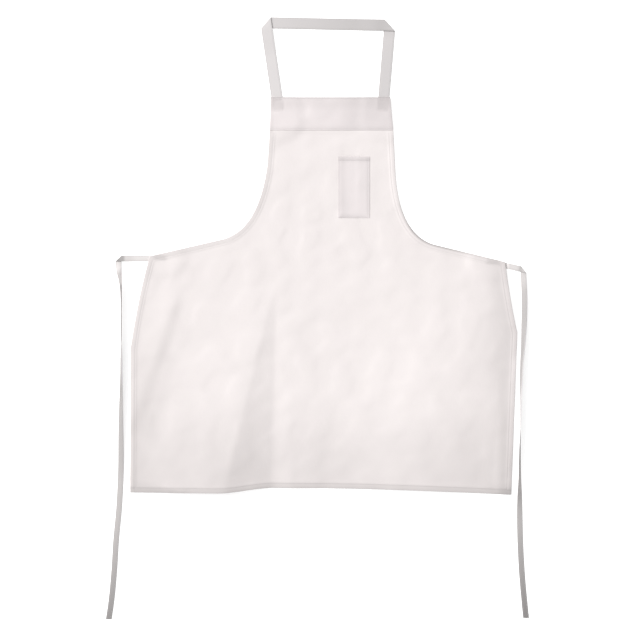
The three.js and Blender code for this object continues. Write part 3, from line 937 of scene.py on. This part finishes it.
class APRON_OT_stage(bpy.types.Operator):
    """Lay a pale floor, light it softly from the upper left and look at it straight from above"""

    bl_idname = "apron.stage"
    bl_label = "Stage"

    def execute(self, context):
        stage = context.scene.apron_stage
        bpy.ops.object.select_all(action="DESELECT")
        bpy.ops.mesh.primitive_plane_add(size=FLOOR_SIZE, location=(0, 0, -FLOOR_DEPTH))
        floor = context.object
        floor.name = "floor"
        bpy.ops.object.transform_apply(location=True)
        material, surface, _ = node_chain("pale_floor")
        surface(Base_Color=(*stage.floor_color, 1), Roughness=0.9, Emission_Color=WHITE,
                Emission_Strength=stage.floor_glow)
        floor.data.materials.append(material)

        centre = Vector((*PICTURE_CENTRE, 0))
        bpy.ops.object.light_add(type="SUN", location=centre + KEY_DISTANCE * KEY_SIDE)
        key = context.object
        key.name = "key_light"
        key.data.energy = stage.key
        key.data.angle = KEY_SOFTNESS
        shine = Vector((*(-math.cos(stage.key_height) * KEY_SIDE.xy), -math.sin(stage.key_height)))
        key.rotation_euler = shine.to_track_quat("-Z", "Y").to_euler()

        world = context.scene.world or bpy.data.worlds.new("studio")
        context.scene.world = world
        world.use_nodes = True
        sky = world.node_tree.nodes["Background"]
        sky.inputs["Color"].default_value = WHITE
        sky.inputs["Strength"].default_value = stage.fill

        bpy.ops.object.camera_add(rotation=(0, 0, 0))
        camera = context.object
        camera.data.lens = stage.lens
        distance = PICTURE_WIDTH * camera.data.lens / camera.data.sensor_width
        camera.location = centre + Vector((0, 0, distance))
        context.scene.camera = camera
        context.scene.view_settings.view_transform = "Standard"
        return {"FINISHED"}


class APRON_OT_waist_ties(bpy.types.Operator):
    """Lay the two waist ties, each folded over beside the body and run down past the hem"""

    bl_idname = "apron.waist_ties"
    bl_label = "Waist ties"

    def execute(self, context):
        cloth = context.scene.apron_cloth
        for side, tie in TIES.items():
            run = norm(np.subtract(tie["fold"], tie["end"]))
            drop = tie["lay"][-1][0]
            tip = (tie["fold"][0], tie["fold"][1] - drop)
            # Painted light and shade along each tie's front and back
            shading_ramp, back_shading = (placed(table[side], run) for table in (TIE_LIGHT_AND_SHADE, TIE_BACK_LIGHT_AND_SHADE))
            material = twill(f"tie_tape_{side}", cloth.tie_shaded_color, cloth, shading_ramp)
            route = (tie["end"], tie["fold"], tip)
            lie = tie_lie(tie["lay"], run)
            piece, stitching, line = tape(f"apron_tie_{side}", route, TIE_WIDTH, lie, cloth, material, back_shading)
            dress(piece, f"tie_{side}", stitching)
            leaves = towards(tie["end"], tie["fold"], TIE_EXIT)
        return {"FINISHED"}


class APRON_OT_neck_strap(bpy.types.Operator):
    """Lay the neck strap, folded over at both top corners and tucked behind the bib"""

    bl_idname = "apron.neck_strap"
    bl_label = "Neck strap"

    def execute(self, context):
        cloth = context.scene.apron_cloth
        left, right = (far_end for _, far_end, _ in tucks()[0])
        route = (left, STRAP["left_corner"], STRAP["right_corner"], right)
        runs = np.cumsum([0] + [norm(np.subtract(b, a)) for a, b in zip(route, route[1:])])
        shading_ramp = [(runs[corner] + past, tone) for corner, past, tone in STRAP_TONE_ALONG]
        material = twill("strap_tape", cloth.strap_shaded_color, cloth, shading_ramp)
        piece, stitching, _ = tape("apron_strap", route, STRAP_WIDTH, lie_flat, cloth, material)
        dress(piece, "neck_strap", stitching)
        return {"FINISHED"}


class APRON_OT_body_panel(bpy.types.Operator):
    """Lay the bib and skirt with their hems, folds and seams"""

    bl_idname = "apron.body_panel"
    bl_label = "Bib and skirt"

    def execute(self, context):
        cloth = context.scene.apron_cloth
        plan, side, bottom = body_grid()
        lift = body_lift(plan, cloth)
        # Under the band the sides are plain, and the hem starts just below it.
        band_foot = EDGES["left"]["band_foot"][1]
        hemmed = 1 - smoothstep(plan[..., 1], *(band_foot - below for below in HEM_START))
        near = np.minimum(side, bottom)
        front = across(near, HEM, 1)
        front = np.where(front > 0, front * hemmed, front)
        back = across(near, HEM, 2) * np.where(near < HEM_TURN, 1, hemmed)
        # Painted light and shade: along the hems and sewn lines, on the skirt, below the drag, at the
        # armhole, below the band and over the hidden tie ends
        tone = 1 - (1 - across(side, HEM, 3)) * hemmed - (1 - across(bottom, HEM, 3)) * BOTTOM_SEAM_SHADE
        for in_x, in_y, loss in PAINTED_SKIRT_SHADE:
            tone *= 1 - loss * smoothstep(plan[..., 0], *in_x) * smoothstep(plan[..., 1], *in_y)
        *ends, reach, loss = DRAG_FOLD_SHADE
        tone *= 1 - loss * (1 - smoothstep(from_line(plan, *ends), 0, reach))
        on_left = plan[..., 0] < 0
        hems = np.where(on_left, *(looked_up(HEM_SIDE_LIGHT_AND_SHADE[name], plan[..., 1]) for name in ("left", "right")))
        tone *= edge_tone(side, hems, HEM_FADE) * edge_tone(bottom, BOTTOM_EDGE_SHADE, BOTTOM_FADE)
        tone *= edge_tone(side, np.where(on_left, 1, looked_up(ARMHOLE_SHADOW_LINE, plan[..., 1])), LINE_FADE)
        tone *= looked_up(SHADE_BELOW_BAND, band_foot - plan[..., 1])
        _, tie_ends = tucks()
        for tape_end in tie_ends:
            tone *= 1 - TIE_END_SHADE * over_tape(plan, *tape_end)
        upper = np.dstack([plan, lift + CLOTH + front])
        lower = np.dstack([plan, lift + back])
        material = twill("body_twill", cloth.body_color, cloth)
        piece = woven_sheet("apron_body", upper, lower, plan, np.clip(tone, 0, 1), material)

        row = line_at(HEM_LINES, HEM_STITCH)
        top = len(plan) - STRETCHES[0][0] - 1
        inner = slice(row, plan.shape[1] - row)
        lines = []
        for face, way in ((upper, 1), (lower, -1)):
            for line in (face[row:top, row], face[row:top, -1 - row], face[row, inner]):
                lines.append((line, way * UP))
        lines += box_seams(tie_ends, TIE_BOX, cloth, 0)
        stitching = seam("body_stitching", lines, cloth)
        dress(piece, "body_panel", stitching)

        return {"FINISHED"}


class APRON_OT_bib_band(bpy.types.Operator):
    """Sew the band across the top of the bib"""

    bl_idname = "apron.bib_band"
    bl_label = "Bib band"

    def execute(self, context):
        cloth = context.scene.apron_cloth
        foot = np.array([edge["band_foot"] for edge in EDGES.values()])
        top = np.array([edge["bib_top"] for edge in EDGES.values()])
        tall = top[0, 1] - foot[0, 1]
        wide = norm(foot[1] - foot[0])
        u = patch_lines(wide, PLAIN_EDGE, PLAIN_EDGE, BAND_CELLS[0])
        v = patch_lines(tall, SEWN_EDGE, SEWN_EDGE, BAND_CELLS[1])
        row = foot[:, None] + (top - foot)[:, None] * (v / tall)[None, :, None]
        plan = row[0][:, None] + (row[1] - row[0])[:, None] * (u / wide)[None, :, None]
        base = body_lift(plan, cloth) + CLOTH + SEAM_GAP
        ends = np.minimum(u, wide - u)[None]
        edges = np.minimum(v, tall - v)[:, None]
        upper, lower, tone = patch_faces(plan, base, (ends, PLAIN_EDGE), (edges, SEWN_EDGE))
        # Painted light and shade along the band's ends, top and foot, and over the hidden strap ends
        for from_side, name in ((u, "left"), (wide - u, "right")):
            tone *= edge_tone(from_side, looked_up(HEM_SIDE_LIGHT_AND_SHADE[name], plan[..., 1]), HEM_FADE)
        tone *= edge_tone((tall - v)[:, None], BAND_TOP_SHADE_LINE, LINE_FADE)
        tone *= edge_tone(v[:, None], BAND_FOOT_LIGHT_LINE, LINE_FADE)
        tone *= looked_up(SHADE_BELOW_BAND_TOP, tall - v)[:, None]
        strap_ends, _ = tucks()
        for tape_end in strap_ends:
            tone *= 1 - STRAP_END_SHADE * over_tape(plan, *tape_end)
        material = twill("band_twill", cloth.band_shaded_color, cloth, placed(BAND_LIGHT_AND_SHADE, foot[0, 0], wide))
        piece = woven_sheet("apron_band", upper, lower, plan, tone, material)

        lines = [(upper[k], UP) for k in np.flatnonzero(np.isclose(edges[:, 0], SEWN_STITCH))]
        lines += box_seams(strap_ends, STRAP_BOX, cloth, SEAM_GAP + CLOTH)
        stitching = seam("band_stitching", lines, cloth)
        dress(piece, "bib_band", stitching)
        return {"FINISHED"}


class APRON_OT_chest_pocket(bpy.types.Operator):
    """Sew the narrow pocket on the bib, open at its top"""

    bl_idname = "apron.chest_pocket"
    bl_label = "Chest pocket"

    def execute(self, context):
        cloth = context.scene.apron_cloth
        low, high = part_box("chest_pocket")
        wide, tall = high.x - low.x, high.y - low.y
        u = patch_lines(wide, SEWN_EDGE, SEWN_EDGE, POCKET_CELLS[0])
        v = patch_lines(tall, SEWN_EDGE, POCKET_HEM, POCKET_CELLS[1])
        plan = np.stack(np.broadcast_arrays(low.x + u[None], low.y + v[:, None]), axis=-1)
        sides = np.minimum(u, wide - u)[None]
        foot, mouth = v[:, None], (tall - v)[:, None]
        gape = POCKET_GAPE * smoothstep(sides, 0, POCKET_FLANK) * (1 - (mouth / tall) ** POCKET_CLOSING)
        base = body_lift(plan, cloth) + CLOTH + SEAM_GAP + gape
        sewn = np.minimum(sides, foot)
        # Painted light and shade: from the sections of its edges and hem, and from the tone across it
        upper, lower, tone = patch_faces(plan, base, (sewn, SEWN_EDGE), (mouth, POCKET_HEM))
        material = twill("pocket_twill", cloth.band_shaded_color, cloth, placed(POCKET_LIGHT_AND_SHADE, low.x, wide))
        piece = woven_sheet("apron_pocket", upper, lower, plan, tone, material)

        column = line_at(u, SEWN_STITCH)
        row = line_at(v, SEWN_STITCH)
        hem = line_at(tall - v, POCKET_HEM_STITCH)
        inner = slice(column, len(u) - column)
        sewn_lines = (upper[row:, column], upper[row:, -1 - column], upper[row, inner], upper[hem, inner])
        lines = [(line, UP) for line in sewn_lines]
        stitching = seam("pocket_stitching", lines, cloth)
        dress(piece, "chest_pocket", stitching)
        return {"FINISHED"}


class APRON_PT_panel(bpy.types.Panel):
    """Sizes, colours and pieces of the apron"""

    bl_idname = "APRON_PT_panel"
    bl_label = "Twill Bib Apron"
    bl_space_type = "VIEW_3D"
    bl_region_type = "UI"
    bl_category = "Apron"

    def draw(self, context):
        for settings in (context.scene.apron_cloth, context.scene.apron_stage):
            box = self.layout.box()
            for name in settings.__annotations__:
                box.prop(settings, name)
        for operator in PIECES:
            self.layout.operator(operator.bl_idname)


PIECES = (
    APRON_OT_stage,
    APRON_OT_waist_ties,
    APRON_OT_neck_strap,
    APRON_OT_body_panel,
    APRON_OT_bib_band,
    APRON_OT_chest_pocket,
)
CLASSES = (ApronCloth, ApronStage, *PIECES, APRON_PT_panel)


def register():
    for cls in CLASSES:
        bpy.utils.register_class(cls)
    bpy.types.Scene.apron_cloth = PointerProperty(type=ApronCloth)
    bpy.types.Scene.apron_stage = PointerProperty(type=ApronStage)


def unregister():
    del bpy.types.Scene.apron_stage
    del bpy.types.Scene.apron_cloth
    for cls in reversed(CLASSES):
        bpy.utils.unregister_class(cls)


def main():
    register()
    bpy.ops.apron.stage()
    bpy.ops.apron.waist_ties()
    bpy.ops.apron.neck_strap()
    bpy.ops.apron.body_panel()
    bpy.ops.apron.bib_band()
    bpy.ops.apron.chest_pocket()
    bare = [name for name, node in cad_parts.items() if not node.hide_render]
    if bare:
        raise RuntimeError(f"no piece stands for {bare}")


if __name__ == "__main__":
    main()
